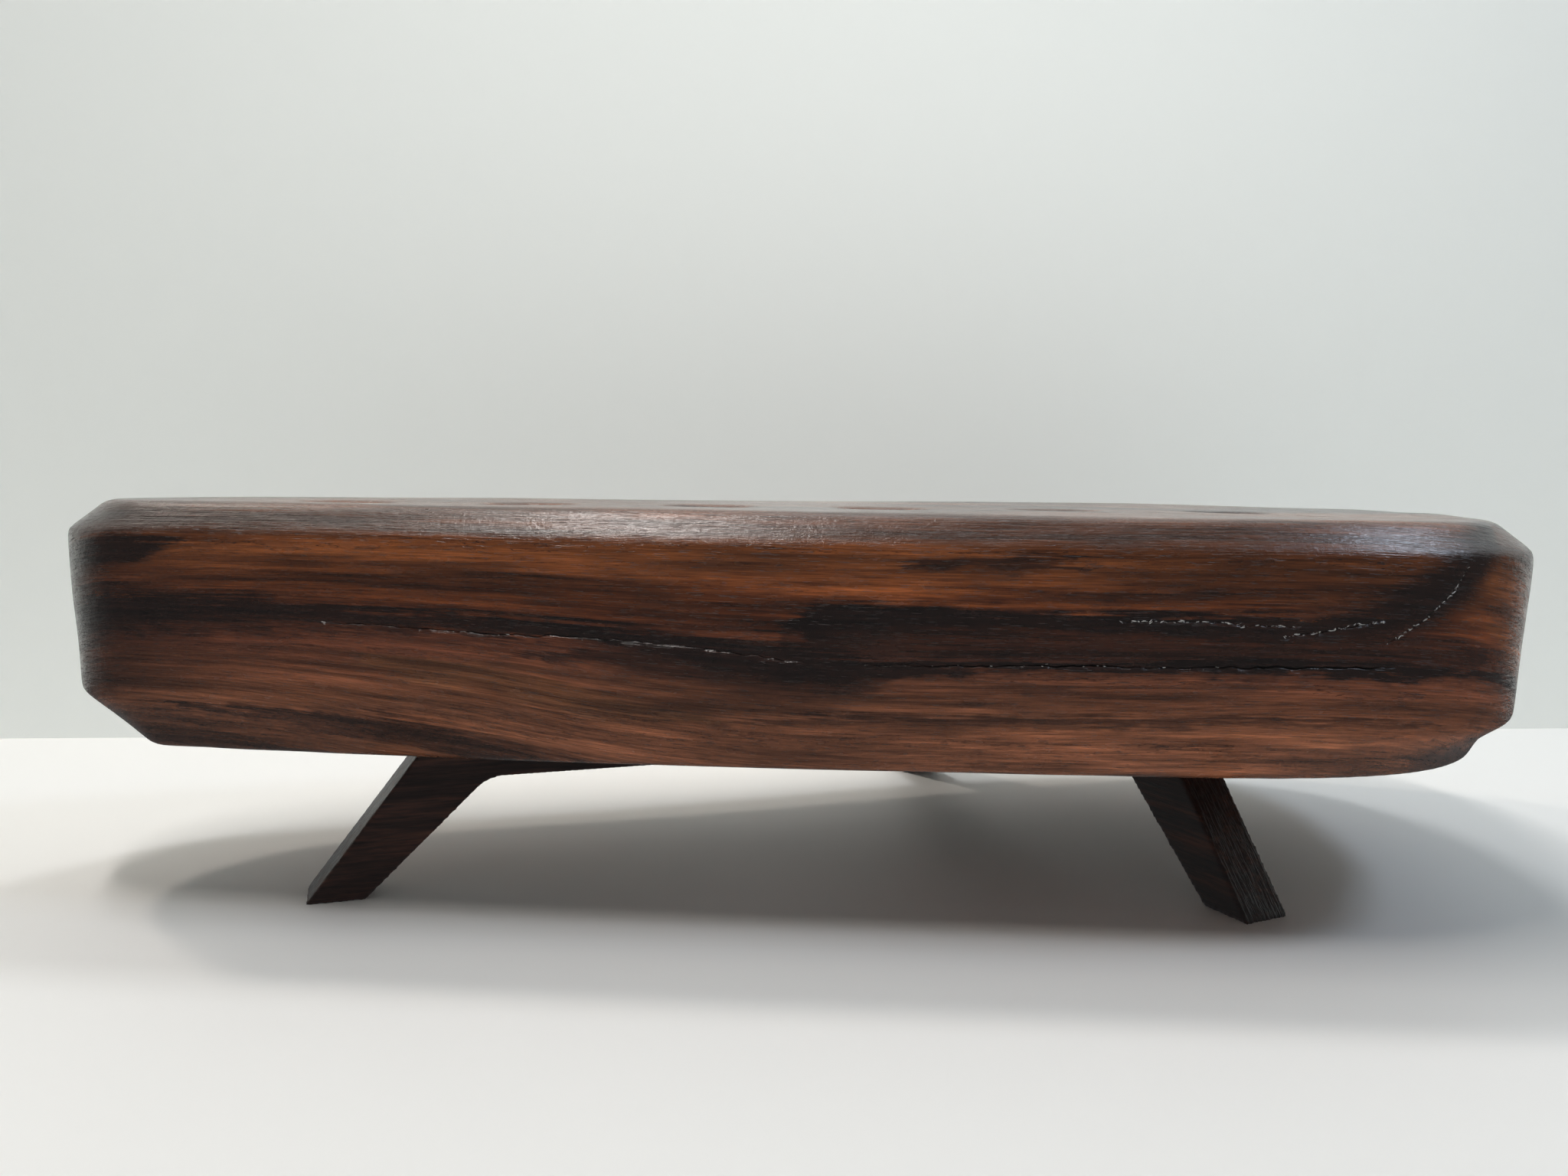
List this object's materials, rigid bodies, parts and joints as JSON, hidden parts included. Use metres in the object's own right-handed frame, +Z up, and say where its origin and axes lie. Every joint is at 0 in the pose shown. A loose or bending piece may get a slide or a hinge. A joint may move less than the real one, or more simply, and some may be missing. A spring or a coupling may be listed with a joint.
{
  "type": "dip pen holder",
  "caption": "Free-standing desk holder for dip pens: a thick hand-shaped hardwood slab with a row of blind pen holes, raised on splayed legs cut from flat boards that meet in a T.",
  "frame": {"origin": "on the floor, under the middle of the whole object's box", "axes": "+X along the slab from its narrow end to its wide end, +Y from the straight front face to the back, +Z up"},
  "size_m": [0.2032, 0.0928, 0.0527],
  "materials": {
    "slab_wood": "oiled and waxed, satin",
    "leg_wood": "oiled and waxed, satin",
    "dowel_wood": "bare"
  },
  "bodies": {
    "root": {"pen_slab": "slab_wood", "arch_board": "leg_wood", "branch_board": "leg_wood", "shoulder_dowels": "dowel_wood", "tenon_peg": "dowel_wood"}
  },
  "joints": []
}
